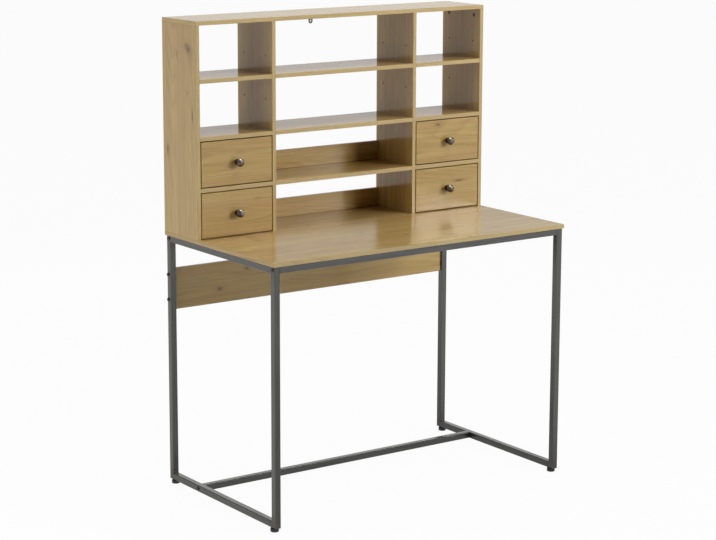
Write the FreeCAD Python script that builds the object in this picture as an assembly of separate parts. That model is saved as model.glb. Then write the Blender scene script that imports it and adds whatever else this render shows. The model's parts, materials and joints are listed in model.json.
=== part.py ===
import FreeCAD, Part
import os

# Computer desk with a shelved hutch and four small drawers, in millimetres.
# +Z is up, the front faces -Y, +X is to the right as seen from the front.
# The origin is on the floor, under the middle of the desktop.

# Desktop and boards
DESK_WIDTH = 1016.0
DESK_DEPTH = 574.0
DESK_HEIGHT = 754.0
BOARD = 12.0                # thickness of every oak-faced board
EDGE_EASE = 0.8             # rounding of the boards' arrises

# Steel frame of square tube
TUBE = 19.0
TUBE_WALL = 1.2
TUBE_ROUND = 2.0            # outer corner radius of the tube
FRAME_INSET = 4.0           # how far the desktop stands over the frame
STRETCHER_SETBACK = 149.0   # from the frame's back to the floor stretcher's back
END_PLATE = 3.0             # tapped plate welded into the end of a cross rail

# Levelling feet
FOOT_HEIGHT = 12.0          # floor to the underside of the frame
FOOT_RADIUS = 12.0
FOOT_ROUND = 2.5
FOOT_INSET = 8.0            # from the leg's axis towards the middle of the side frame
STEM_RADIUS = 3.0
STEM_CLEAR = 4.0            # from the stem's end to the top of the bottom rail
INSERT_RADIUS = 4.5
INSERT_LENGTH = 11.0
INSERT_FLANGE = 0.8
INSERT_FLANGE_RADIUS = 6.5

# Hutch
HUTCH_DEPTH = 184.0
CENTRE_BAY = 487.0          # clear width between the dividers
DRAWER_BAY = 133.5          # clear height of a drawer compartment
OPEN_BAY = 150.0            # clear height of an open compartment
STRIP_HEIGHT = 57.0         # back strips of the centre bay
BAY_BACK = 3.0              # thickness of the panel behind the drawers
BAY_BACK_INSET = 6.0        # from the hutch's back edge to that panel
GROOVE_DEPTH = 3.5
SHELF_EASE = 0.5            # end clearance of a shelf that lies on pins

# Modesty panel between the rear legs
MODESTY_DROP = 98.0         # below the desktop's underside
MODESTY_HEIGHT = 122.0
MODESTY_SCREW_TOP = 18.0    # upper screw below the panel's top edge
MODESTY_SCREW_FOOT = 30.0   # lower screw above the panel's bottom edge
MODESTY_SCREW_GRIP = 35.0   # length of screw inside the panel

# Drawers
DRAWER_GAP = 3.0            # around a drawer front
DRAWER_RUN = 0.3            # under the drawer's sides
DRAWER_STOP = 0.4           # between the closed drawer and the panel behind it
BOX_BOARD = 10.0            # thickness of a drawer's sides and back
BOX_HEIGHT = 96.0
BOX_BOTTOM = 3.0
BOTTOM_LIFT = 8.0           # drawer bottom above the lower edge of the sides
BOTTOM_GROOVE = 5.0
GROOVE_FIT = 0.1            # all round a panel in its groove

# Knobs
KNOB_RADIUS = 12.0
KNOB_REACH = 26.0
KNOB_NECK = 5.0
KNOB_NECK_LENGTH = 9.0
KNOB_BASE = 8.5
KNOB_BASE_THICK = 2.5
KNOB_CROWN = 17.0           # distance of the widest ring from the drawer front
KNOB_TAP = 10.0             # depth of the screw in the knob

# Fasteners
PIN_FIT = 0.05              # radial fit of dowels, pins and threads
CLEAR_FIT = 0.25            # radial clearance of a bolt that passes through
JOINT_SETBACK = 35.0        # dowels, pins and screws from the hutch's front and back
DOWEL_RADIUS = 3.0
DOWEL_END_GRIP = 18.0       # dowel inside the end of a board
STRIP_DOWEL_PITCH = 32.0
FACE_WEB = 1.5              # wood left between a dowel and a groove on the other face
PIN_RADIUS = 2.5
PIN_STEP = 62.0             # between the levels of the movable shelves
PIN_RISE = 1.5              # pin axis above the shelf's underside
PIN_REACH = 8.0             # pin outside its board
PIN_WEB = 1.0               # wood left between pins on both faces of a divider
CAM_SETBACK = 31.0
CAM_DROP = 20.0             # cam axis below the hutch top
CAM_RADIUS = 6.0
CAM_WEB = 3.0               # wood left behind a cam
CAM_BOLT_RADIUS = 2.5
CAM_POCKET_FIT = 0.4
CAM_SLOT = 1.2              # width and depth of the screwdriver slot
CAM_SLOT_LENGTH = 8.4
BOLT_RADIUS = 3.0
BOLT_TAIL = 3.0             # bolt past the tapped plate
BOLT_HEAD_RADIUS = 5.25
BOLT_HEAD = 3.0
SCREW_RADIUS = 2.0
SCREW_HEAD_RADIUS = 4.0
SCREW_HEAD = 2.4
SCREW_COVER = 4.0           # wood left above a screw's point
SCREW_ACCESS = 5.0          # radius of the hole that lets a screw into a rail
DESK_SCREW_INSET = 200.0    # from the frame's corners
BASE_SCREW_GRIP = 25.0      # screw inside the foot of a divider
RECESS_SHARE = 0.6          # depth of a drive recess, of the head's height
HEAD_ROUND_SHARE = 0.5      # rounding of a head's rim, of the head's height
SOCKET_RADIUS = 2.6         # corner radius of a bolt's hexagon socket
CROSS_LENGTH = 4.4          # cross slot of a screw
CROSS_WIDTH = 1.1

# Wall bracket under the hutch top
BRACKET_WIDTH = 14.0
BRACKET_DROP = 32.0
BRACKET_LEG = 24.0
BRACKET_THICK = 1.5
BRACKET_HOLE = 2.5
BRACKET_HOLE_RISE = 8.0     # hole above the bracket's lower end

PAST = 1.0                  # overlap of a cutting tool past the face that it cuts
SAME = 1e-6                 # difference under which two places agree

V = FreeCAD.Vector
X = V(1, 0, 0)
Y = V(0, 1, 0)
Z = V(0, 0, 1)

# Places worked out from the sizes
HALF_WIDTH = DESK_WIDTH / 2
HALF_DEPTH = DESK_DEPTH / 2
DESK_UNDER = DESK_HEIGHT - BOARD
FRAME_X = HALF_WIDTH - FRAME_INSET
FRAME_Y = HALF_DEPTH - FRAME_INSET
AXIS_X = FRAME_X - TUBE / 2
AXIS_Y = FRAME_Y - TUBE / 2
TOP_AXIS_Z = DESK_UNDER - TUBE / 2
BOTTOM_AXIS_Z = FOOT_HEIGHT + TUBE / 2
STRETCHER_Y = FRAME_Y - STRETCHER_SETBACK - TUBE / 2

HUTCH_BACK = HALF_DEPTH
HUTCH_FRONT = HUTCH_BACK - HUTCH_DEPTH
LOW_Z = DESK_HEIGHT + DRAWER_BAY
MID_Z = LOW_Z + BOARD + DRAWER_BAY
HIGH_Z = MID_Z + BOARD + OPEN_BAY
TOP_Z = HIGH_Z + BOARD + OPEN_BAY
SIDE_IN = HALF_WIDTH - BOARD
DIVIDER_IN = CENTRE_BAY / 2
DIVIDER_OUT = DIVIDER_IN + BOARD
BAYS = {
    "left": (-SIDE_IN, -DIVIDER_OUT),
    "centre": (-DIVIDER_IN, DIVIDER_IN),
    "right": (DIVIDER_OUT, SIDE_IN),
}
UPRIGHT_CENTRES = {
    "left_side_panel": -SIDE_IN - BOARD / 2,
    "left_divider": -DIVIDER_IN - BOARD / 2,
    "right_divider": DIVIDER_IN + BOARD / 2,
    "right_side_panel": SIDE_IN + BOARD / 2,
}
JOINT_YS = (HUTCH_FRONT + JOINT_SETBACK, HUTCH_BACK - JOINT_SETBACK)
CAM_YS = (HUTCH_FRONT + CAM_SETBACK, HUTCH_BACK - CAM_SETBACK)
BAY_BACK_Y = HUTCH_BACK - BAY_BACK_INSET - BAY_BACK
STRIP_Y = HUTCH_BACK - BOARD
STRIP_FLOORS = {"lower_back_strip": DESK_HEIGHT, "upper_back_strip": LOW_Z + BOARD}
PIN_Z = HIGH_Z + PIN_RISE
PIN_LEVELS = (PIN_Z - PIN_STEP, PIN_Z, PIN_Z + PIN_STEP)
FACE_GRIP = BOARD - GROOVE_DEPTH - FACE_WEB
PIN_GRIP = (BOARD - PIN_WEB) / 2
MODESTY_TOP = DESK_UNDER - MODESTY_DROP
MODESTY_FRONT = FRAME_Y - BOARD


def box(x0, x1, y0, y1, z0, z1):
    """Block between two corners."""
    return Part.makeBox(x1 - x0, y1 - y0, z1 - z0, V(x0, y0, z0))


def runs_along(edge, axis):
    """Whether a straight edge is parallel to an axis."""
    start, end = [vertex.Point for vertex in edge.Vertexes]
    return (end - start).cross(axis).Length < SAME


def ease(shape, radius, axis=None):
    """Rounds a block's arrises: those along one axis, or all of them."""
    edges = [edge for edge in shape.Edges if axis is None or runs_along(edge, axis)]
    return shape.makeFillet(radius, edges)


def board(x0, x1, y0, y1, z0, z1, axis=None):
    """Board with eased arrises along its length, or all round."""
    return ease(box(x0, x1, y0, y1, z0, z1), EDGE_EASE, axis)


def span(start, end, radius):
    """Round bar between two points."""
    return Part.makeCylinder(radius, (end - start).Length, start, end - start)


def drill(shape, tools):
    """Shape with every tool cut out of it."""
    return shape.cut(tools) if tools else shape


def placed(shape, point, direction):
    """Shape made along +Z from the origin, turned and moved to its place."""
    shape.Placement = FreeCAD.Placement(point, FreeCAD.Rotation(Z, direction))
    return shape


def prism(corners, x0, x1):
    """Prism along X whose section is a polygon of (y, z) corners."""
    points = [V(x0, y, z) for y, z in corners]
    face = Part.Face(Part.makePolygon(points + points[:1]))
    return face.extrude(V(x1 - x0, 0, 0))


def tube(x0, x1, y0, y1, z0, z1, axis):
    """Square tube with rounded corners along an axis, open at both ends."""
    wall = V(TUBE_WALL, TUBE_WALL, TUBE_WALL) - axis * TUBE_WALL
    outer = ease(box(x0, x1, y0, y1, z0, z1), TUBE_ROUND, axis)
    hollow = box(x0 + wall.x, x1 - wall.x, y0 + wall.y, y1 - wall.y, z0 + wall.z, z1 - wall.z)
    if TUBE_ROUND > TUBE_WALL:
        hollow = ease(hollow, TUBE_ROUND - TUBE_WALL, axis)
    return outer.cut(hollow)


def fastener(point, direction, shank_radius, length, head_radius, head_height, recess):
    """Screw or bolt: its head seats at the point, its shank follows the direction."""
    head = Part.makeCylinder(head_radius, head_height, V(0, 0, -head_height))
    rim = [edge for edge in head.Edges if edge.CenterOfMass.z < SAME - head_height]
    head = head.makeFillet(head_height * HEAD_ROUND_SHARE, rim[:1])
    shank = Part.makeCylinder(shank_radius, length)
    return placed(head.cut(recess).fuse(shank).removeSplitter(), point, direction)


def hexagon_recess(head_height):
    """Hexagon socket in the top of a bolt's head."""
    first = V(SOCKET_RADIUS, 0, -head_height - PAST)
    corners = [FreeCAD.Rotation(Z, 60 * turn).multVec(first) for turn in range(6)]
    face = Part.Face(Part.makePolygon(corners + corners[:1]))
    return face.extrude(V(0, 0, PAST + head_height * RECESS_SHARE))


def cross_recess(head_height):
    """Cross slot in the top of a screw's head."""
    half = CROSS_LENGTH / 2
    slot = CROSS_WIDTH / 2
    top = -head_height - PAST
    floor = -head_height * (1 - RECESS_SHARE)
    bar = box(-half, half, -slot, slot, top, floor)
    return bar.fuse(box(-slot, slot, -half, half, top, floor))


def bolt(point, direction, length, radius=BOLT_RADIUS):
    """Button-head bolt with a hexagon socket."""
    recess = hexagon_recess(BOLT_HEAD)
    return fastener(point, direction, radius, length, BOLT_HEAD_RADIUS, BOLT_HEAD, recess)


def wood_screw(point, direction, length):
    """Pan-head screw with a cross slot."""
    recess = cross_recess(SCREW_HEAD)
    return fastener(point, direction, SCREW_RADIUS, length, SCREW_HEAD_RADIUS, SCREW_HEAD, recess)


def foot_places():
    """Name and place of each levelling foot under the bottom rails."""
    foot_y = AXIS_Y - FOOT_INSET
    for end, y in (("front", -foot_y), ("rear", foot_y)):
        for side, x in (("left", -AXIS_X), ("right", AXIS_X)):
            yield f"{end}_{side}_foot", V(x, y, FOOT_HEIGHT)


def cross_rail_places():
    """Name, y and z of the axis of each rail that joins the side frames."""
    return {
        "front_top_rail": (-AXIS_Y, TOP_AXIS_Z),
        "rear_top_rail": (AXIS_Y, TOP_AXIS_Z),
        "floor_stretcher": (STRETCHER_Y, BOTTOM_AXIS_Z),
    }


def frame_bolt_holes(side):
    """Clearance holes through one side frame for the cross rails' bolts."""
    start = side * (FRAME_X + PAST)
    end = side * (FRAME_X - TUBE - PAST)
    radius = BOLT_RADIUS + CLEAR_FIT
    return [span(V(start, y, z), V(end, y, z), radius) for y, z in cross_rail_places().values()]


def modesty_screw_zs():
    """Heights of the two screws at each end of the modesty panel."""
    lower = MODESTY_TOP - MODESTY_HEIGHT + MODESTY_SCREW_FOOT
    return (lower, MODESTY_TOP - MODESTY_SCREW_TOP)


def desk_screw_places():
    """Places on the frame's top where screws hold the desktop."""
    x = FRAME_X - DESK_SCREW_INSET
    y = FRAME_Y - DESK_SCREW_INSET
    sides = [V(sx * AXIS_X, sy * y, DESK_UNDER) for sx in (-1, 1) for sy in (-1, 1)]
    cross = [V(sx * x, sy * AXIS_Y, DESK_UNDER) for sx in (-1, 1) for sy in (-1, 1)]
    return sides + cross


def desk_screw_holes():
    """Screw hole in a rail's upper wall and access hole in its lower wall."""
    tools = []
    for place in desk_screw_places():
        lower_wall = place - Z * (TUBE - TUBE_WALL)
        tools.append(span(place - Z * (TUBE_WALL + PAST), place + Z * PAST, SCREW_RADIUS + CLEAR_FIT))
        tools.append(span(lower_wall + Z * PAST, lower_wall - Z * (TUBE_WALL + PAST), SCREW_ACCESS))
    return tools


def mitre(y_out, z_out, y_in, z_in, leg_side):
    """Wedge over a corner of the side frames, on the leg's or the rail's side of the mitre."""
    far = TUBE + PAST
    outer = (y_out - y_in * PAST, z_out - z_in * PAST)
    inner = (y_out + y_in * far, z_out + z_in * far)
    corner = (outer[0], inner[1]) if leg_side else (inner[0], outer[1])
    return prism([outer, inner, corner], -FRAME_X - PAST, FRAME_X + PAST)


def side_frames():
    """Legs, top rails and bottom rails of both welded side frames."""
    parts = {}
    for side_name, side in (("left", -1), ("right", 1)):
        x0, x1 = sorted((side * FRAME_X, side * (FRAME_X - TUBE)))
        bolt_holes = frame_bolt_holes(side)
        for end_name, y_sign in (("front", -1), ("rear", 1)):
            y0, y1 = sorted((y_sign * FRAME_Y, y_sign * (FRAME_Y - TUBE)))
            leg = tube(x0, x1, y0, y1, FOOT_HEIGHT, DESK_UNDER, Z)
            y_out = y_sign * FRAME_Y
            cuts = [mitre(y_out, FOOT_HEIGHT, -y_sign, 1, False)]
            cuts.append(mitre(y_out, DESK_UNDER, -y_sign, -1, False))
            if end_name == "rear":
                cuts += modesty_leg_holes(side)
            parts[f"{end_name}_{side_name}_leg"] = drill(leg, cuts + bolt_holes)
        for level, z_out, z_sign in (("bottom", FOOT_HEIGHT, 1), ("top", DESK_UNDER, -1)):
            z0, z1 = sorted((z_out, z_out + z_sign * TUBE))
            rail = tube(x0, x1, -FRAME_Y, FRAME_Y, z0, z1, Y)
            cuts = [mitre(end * FRAME_Y, z_out, -end, z_sign, True) for end in (-1, 1)]
            cuts += insert_holes() if level == "bottom" else desk_screw_holes()
            parts[f"{side_name}_{level}_rail"] = drill(rail, cuts + bolt_holes)
    return parts


def insert_holes():
    """Holes in the bottom rails' lower wall for the feet's inserts."""
    radius = INSERT_RADIUS + PIN_FIT
    return [span(p - Z * PAST, p + Z * (TUBE_WALL + PAST), radius) for _, p in foot_places()]


def modesty_leg_holes(side):
    """Clearance holes through one rear leg for the modesty panel's screws."""
    y = FRAME_Y - BOARD / 2
    start = side * (FRAME_X + PAST)
    end = side * (FRAME_X - TUBE - PAST)
    return [span(V(start, y, z), V(end, y, z), SCREW_RADIUS + CLEAR_FIT) for z in modesty_screw_zs()]


def cross_rails():
    """Front and rear top rails and floor stretcher, with a tapped plate in each end."""
    parts = {}
    half = FRAME_X - TUBE
    for name, (y, z) in cross_rail_places().items():
        low_y, high_y = y - TUBE / 2, y + TUBE / 2
        low_z, high_z = z - TUBE / 2, z + TUBE / 2
        rail = tube(-half, half, low_y, high_y, low_z, high_z, X)
        filling = ease(box(-half, half, low_y, high_y, low_z, high_z), TUBE_ROUND, X)
        ends = [box(-half, END_PLATE - half, low_y, high_y, low_z, high_z)]
        ends.append(box(half - END_PLATE, half, low_y, high_y, low_z, high_z))
        rail = rail.fuse(filling.common(ends)).removeSplitter()
        taps = [span(V(-half - PAST, y, z), V(half + PAST, y, z), BOLT_RADIUS + PIN_FIT)]
        parts[name] = drill(rail, taps + desk_screw_holes())
    return parts


def frame_bolts():
    """Bolts that draw the cross rails against the side frames."""
    length = TUBE + END_PLATE + BOLT_TAIL
    solids = []
    for side in (-1, 1):
        for y, z in cross_rail_places().values():
            solids.append(bolt(V(side * FRAME_X, y, z), X * -side, length))
    return Part.makeCompound(solids)


def levelling_feet():
    """Round feet with a threaded stem, screwed home against their inserts."""
    parts = {}
    for name, place in foot_places():
        pad_height = FOOT_HEIGHT - INSERT_FLANGE
        pad = Part.makeCylinder(FOOT_RADIUS, pad_height, V(place.x, place.y, 0))
        rims = [edge for edge in pad.Edges if isinstance(edge.Curve, Part.Circle)]
        pad = pad.makeFillet(FOOT_ROUND, rims)
        stem = span(V(place.x, place.y, pad_height - PAST), place + Z * (TUBE - STEM_CLEAR), STEM_RADIUS)
        parts[name] = pad.fuse(stem).removeSplitter()
    return parts


def foot_inserts():
    """Flanged threaded sleeves set into the bottom rails."""
    solids = []
    for _, place in foot_places():
        low = place - Z * INSERT_FLANGE
        high = place + Z * INSERT_LENGTH
        flange = span(low, place, INSERT_FLANGE_RADIUS)
        sleeve = span(place, high, INSERT_RADIUS)
        bore = span(low - Z * PAST, high + Z * PAST, STEM_RADIUS + PIN_FIT)
        solids.append(flange.fuse(sleeve).removeSplitter().cut(bore))
    return Part.makeCompound(solids)


def modesty_panel():
    """Panel between the rear legs, flush with their back, and its screws."""
    half = FRAME_X - TUBE
    y = FRAME_Y - BOARD / 2
    panel = board(-half, half, MODESTY_FRONT, FRAME_Y, MODESTY_TOP - MODESTY_HEIGHT, MODESTY_TOP, X)
    holes, screws = [], []
    for side in (-1, 1):
        for z in modesty_screw_zs():
            tip = V(side * (half - MODESTY_SCREW_GRIP), y, z)
            holes.append(span(V(side * (half + PAST), y, z), tip, SCREW_RADIUS + PIN_FIT))
            length = TUBE + MODESTY_SCREW_GRIP
            screws.append(bolt(V(side * FRAME_X, y, z), X * -side, length, SCREW_RADIUS))
    return {"modesty_panel": drill(panel, holes), "modesty_screws": Part.makeCompound(screws)}


def base_screw_places():
    """Places under the desktop where screws rise into the dividers."""
    xs = (UPRIGHT_CENTRES["left_divider"], UPRIGHT_CENTRES["right_divider"])
    return [V(x, y, DESK_UNDER) for x in xs for y in JOINT_YS]


def base_dowels():
    """Dowels between the desktop and the hutch's side panels."""
    xs = (UPRIGHT_CENTRES["left_side_panel"], UPRIGHT_CENTRES["right_side_panel"])
    low = DESK_HEIGHT - FACE_GRIP
    high = DESK_HEIGHT + DOWEL_END_GRIP
    return [(V(x, y, low), V(x, y, high)) for x in xs for y in JOINT_YS]


def top_dowels():
    """Dowels between the dividers and the hutch top."""
    xs = (UPRIGHT_CENTRES["left_divider"], UPRIGHT_CENTRES["right_divider"])
    return [(V(x, y, TOP_Z - DOWEL_END_GRIP), V(x, y, TOP_Z + FACE_GRIP)) for x in xs for y in JOINT_YS]


def shelf_dowels():
    """Dowels of the fixed shelves: blind in the side panels, right through the dividers."""
    places = []
    for z in (LOW_Z + BOARD / 2, MID_Z + BOARD / 2):
        for y in JOINT_YS:
            for side in (-1, 1):
                outer = (side * (SIDE_IN + FACE_GRIP), side * (SIDE_IN - DOWEL_END_GRIP))
                inner = (side * (DIVIDER_OUT + DOWEL_END_GRIP), side * (DIVIDER_IN - DOWEL_END_GRIP))
                places += [(V(x0, y, z), V(x1, y, z)) for x0, x1 in (outer, inner)]
    return places


def strip_dowels():
    """Dowels between the dividers and the ends of the back strips."""
    places = []
    y = STRIP_Y + BOARD / 2
    for floor in STRIP_FLOORS.values():
        for step in (-0.5, 0.5):
            z = floor + STRIP_HEIGHT / 2 + step * STRIP_DOWEL_PITCH
            for side in (-1, 1):
                start = V(side * (DIVIDER_IN + FACE_GRIP), y, z)
                places.append((start, V(side * (DIVIDER_IN - DOWEL_END_GRIP), y, z)))
    return places


def all_dowels():
    """End points of every dowel in the hutch."""
    return base_dowels() + top_dowels() + shelf_dowels() + strip_dowels()


def dowel_holes():
    """Holes for every dowel."""
    return [span(start, end, DOWEL_RADIUS + PIN_FIT) for start, end in all_dowels()]


def shelf_faces():
    """Both faces of each bay: the face's x and the way out of its board."""
    for left, right in BAYS.values():
        yield left, 1
        yield right, -1


def shelf_pin_places(level):
    """Inner end and outer end of each shelf pin at one level."""
    places = []
    for x, out in shelf_faces():
        for y in JOINT_YS:
            places.append((V(x - out * PIN_GRIP, y, level), V(x + out * PIN_REACH, y, level)))
    return places


def shelf_pin_holes():
    """Holes for the shelf pins at all of their levels, those not in use as well."""
    tools = []
    for level in PIN_LEVELS:
        tools += [span(start, end, PIN_RADIUS + PIN_FIT) for start, end in shelf_pin_places(level)]
    return tools


def cam_places():
    """Side and place of each cam, on the inner face of a side panel."""
    return [(side, V(side * SIDE_IN, y, TOP_Z - CAM_DROP)) for side in (-1, 1) for y in CAM_YS]


def cam_bolt(side, place):
    """Bolt that hangs from the hutch top into a cam."""
    x = side * (SIDE_IN + BOARD / 2)
    head_z = place.z - CAM_BOLT_RADIUS
    return span(V(x, place.y, head_z), V(x, place.y, TOP_Z + FACE_GRIP), CAM_BOLT_RADIUS)


def cam_holes():
    """Pockets for the cams and bores for their bolts."""
    tools = []
    for side, place in cam_places():
        start = place - X * side * PAST
        tools.append(span(start, place + X * side * (BOARD - CAM_WEB), CAM_RADIUS + PIN_FIT))
        x = side * (SIDE_IN + BOARD / 2)
        bolt_end = V(x, place.y, TOP_Z + FACE_GRIP)
        tools.append(span(V(x, place.y, place.z), bolt_end, CAM_BOLT_RADIUS + PIN_FIT))
    return tools


def cam_fittings():
    """Cams in the side panels and the bolts that they draw down."""
    solids = []
    for side, place in cam_places():
        drum = span(place, place + X * side * (BOARD - CAM_WEB), CAM_RADIUS)
        x = side * (SIDE_IN + BOARD / 2)
        radius = CAM_BOLT_RADIUS + CAM_POCKET_FIT
        axis = V(x, place.y, place.z)
        pocket = span(axis - Z * radius, axis + Z * (CAM_RADIUS + PAST), radius)
        half = CAM_SLOT_LENGTH / 2
        slot = box(-CAM_SLOT / 2, CAM_SLOT / 2, -half, half, -PAST, CAM_SLOT)
        solids.append(drum.cut([pocket, placed(slot, place, X * side)]))
        solids.append(cam_bolt(side, place))
    return Part.makeCompound(solids)


def desktop():
    """Desktop board with the holes for what stands on it and holds it."""
    panel = board(-HALF_WIDTH, HALF_WIDTH, -HALF_DEPTH, HALF_DEPTH, DESK_UNDER, DESK_HEIGHT)
    grip = BOARD - SCREW_COVER
    through = BOARD + PAST
    holes = [span(p - Z * PAST, p + Z * grip, SCREW_RADIUS + PIN_FIT) for p in desk_screw_places()]
    holes += [span(p - Z * PAST, p + Z * through, SCREW_RADIUS + CLEAR_FIT) for p in base_screw_places()]
    return drill(panel, holes + dowel_holes())


def uprights():
    """Side panels and dividers of the hutch."""
    parts = {}
    rise = BOARD + BASE_SCREW_GRIP
    screws = [span(p, p + Z * rise, SCREW_RADIUS + PIN_FIT) for p in base_screw_places()]
    tools = bay_back_grooves() + screws + dowel_holes() + shelf_pin_holes() + cam_holes()
    for name, x in UPRIGHT_CENTRES.items():
        panel = board(x - BOARD / 2, x + BOARD / 2, HUTCH_FRONT, HUTCH_BACK, DESK_HEIGHT, TOP_Z, Z)
        parts[name] = drill(panel, tools)
    return parts


def hutch_top():
    """Top board that lies over the side panels and dividers."""
    panel = board(-HALF_WIDTH, HALF_WIDTH, HUTCH_FRONT, HUTCH_BACK, TOP_Z, TOP_Z + BOARD)
    start = bracket_screw_place() + Z * BRACKET_THICK
    screw = span(start - Z * PAST, start + Z * (BOARD - SCREW_COVER), SCREW_RADIUS + PIN_FIT)
    return drill(panel, dowel_holes() + cam_holes() + [screw])


def pin_slots():
    """Slots in the underside of the movable shelves that hide the pins."""
    tools = []
    radius = PIN_RADIUS + PIN_FIT
    for start, end in shelf_pin_places(PIN_Z):
        tools.append(span(start, end, radius))
        x0, x1 = sorted((start.x, end.x))
        tools.append(box(x0, x1, start.y - radius, start.y + radius, HIGH_Z - PAST, PIN_Z))
    return tools


def shelves():
    """Three rows of shelves in three bays."""
    parts = {}
    for bay, (left, right) in BAYS.items():
        low_back = HUTCH_BACK if bay == "centre" else BAY_BACK_Y
        rows = {
            "low": (LOW_Z, 0, low_back, dowel_holes()),
            "mid": (MID_Z, 0, HUTCH_BACK, dowel_holes()),
            "high": (HIGH_Z, SHELF_EASE, HUTCH_BACK, pin_slots()),
        }
        for row, (z, gap, back, tools) in rows.items():
            shelf = board(left + gap, right - gap, HUTCH_FRONT, back, z, z + BOARD, X)
            parts[f"{bay}_{row}_shelf"] = drill(shelf, tools)
    return parts


def back_strips():
    """Low boards across the back of the centre bay."""
    parts = {}
    for name, floor in STRIP_FLOORS.items():
        strip = board(-DIVIDER_IN, DIVIDER_IN, STRIP_Y, HUTCH_BACK, floor, floor + STRIP_HEIGHT, X)
        parts[name] = drill(strip, dowel_holes())
    return parts


def bay_back_grooves():
    """Grooves in the uprights that hold the panels behind the drawers."""
    tools = []
    for bay in ("left", "right"):
        left, right = BAYS[bay]
        y0 = BAY_BACK_Y - GROOVE_FIT
        y1 = BAY_BACK_Y + BAY_BACK + GROOVE_FIT
        tools.append(box(left - GROOVE_DEPTH, right + GROOVE_DEPTH, y0, y1, DESK_HEIGHT - PAST, MID_Z))
    return tools


def bay_backs():
    """Thin panels that close the drawer bays and stop the drawers."""
    parts = {}
    for bay in ("left", "right"):
        left, right = BAYS[bay]
        x0 = left - GROOVE_DEPTH + GROOVE_FIT
        x1 = right + GROOVE_DEPTH - GROOVE_FIT
        top = MID_Z - GROOVE_FIT
        parts[f"{bay}_bay_back"] = box(x0, x1, BAY_BACK_Y, BAY_BACK_Y + BAY_BACK, DESK_HEIGHT, top)
    return parts


def bracket_screw_place():
    """Underside of the wall bracket where its screw seats."""
    return V(0, HUTCH_BACK - BRACKET_LEG / 2, TOP_Z - BRACKET_THICK)


def wall_bracket():
    """Angle under the hutch top, with a hole for a screw into the wall."""
    half = BRACKET_WIDTH / 2
    end_z = TOP_Z - BRACKET_DROP
    y0 = HUTCH_BACK - BRACKET_THICK
    leg = box(-half, half, HUTCH_BACK - BRACKET_LEG, HUTCH_BACK, TOP_Z - BRACKET_THICK, TOP_Z)
    drop = box(-half, half, y0, HUTCH_BACK, end_z + half, TOP_Z)
    nose = span(V(0, y0, end_z + half), V(0, HUTCH_BACK, end_z + half), half)
    hole_z = end_z + BRACKET_HOLE_RISE
    hole = span(V(0, y0 - PAST, hole_z), V(0, HUTCH_BACK + PAST, hole_z), BRACKET_HOLE)
    seat = bracket_screw_place()
    screw_hole = span(seat - Z * PAST, seat + Z * (BRACKET_THICK + PAST), SCREW_RADIUS + CLEAR_FIT)
    return leg.fuse([drop, nose]).removeSplitter().cut([hole, screw_hole])


def panel_screws():
    """Wood screws of the desktop, the dividers' feet and the wall bracket."""
    grip = BOARD - SCREW_COVER
    solids = [wood_screw(p - Z * TUBE_WALL, Z, TUBE_WALL + grip) for p in desk_screw_places()]
    solids += [wood_screw(p, Z, BOARD + BASE_SCREW_GRIP) for p in base_screw_places()]
    solids.append(wood_screw(bracket_screw_place(), Z, BRACKET_THICK + grip))
    return Part.makeCompound(solids)


def wood_dowels():
    """Every dowel of the hutch."""
    return Part.makeCompound([span(start, end, DOWEL_RADIUS) for start, end in all_dowels()])


def shelf_pins():
    """Steel pins that carry the movable shelves."""
    return Part.makeCompound([span(start, end, PIN_RADIUS) for start, end in shelf_pin_places(PIN_Z)])


def bezier(*poles):
    """Smooth curve that starts and ends at its first and last pole."""
    curve = Part.BezierCurve()
    curve.setPoles(list(poles))
    return curve.toShape()


def knob(x, z):
    """Turned knob on a drawer front, and the screw that holds it from behind."""

    def at(radius, reach):
        """Point of the outline at a radius and at a distance from the drawer front."""
        return V(x + radius, HUTCH_FRONT - reach, z)

    tap = SCREW_RADIUS + PIN_FIT
    base = at(KNOB_BASE, 0)
    rim = at(KNOB_BASE, KNOB_BASE_THICK)
    neck = at(KNOB_NECK, KNOB_NECK_LENGTH)
    flare = at(KNOB_NECK, KNOB_BASE_THICK)
    crown = at(KNOB_RADIUS, KNOB_CROWN)
    cheek = at(KNOB_RADIUS, KNOB_NECK_LENGTH)
    brow = at(KNOB_RADIUS, KNOB_REACH)
    tip = at(0, KNOB_REACH)
    outline = [
        Part.makeLine(at(tap, 0), base),
        Part.makeLine(base, rim),
        bezier(rim, flare, neck),
        bezier(neck, cheek, crown),
        bezier(crown, brow, tip),
        Part.makeLine(tip, at(0, KNOB_TAP)),
        Part.makeLine(at(0, KNOB_TAP), at(tap, KNOB_TAP)),
        Part.makeLine(at(tap, KNOB_TAP), at(tap, 0)),
    ]
    head = Part.Face(Part.Wire(outline)).revolve(tip, Y, 360)
    screw = wood_screw(at(0, -BOARD), -Y, BOARD + KNOB_TAP - PIN_FIT)
    return Part.makeCompound([head, screw])


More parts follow.
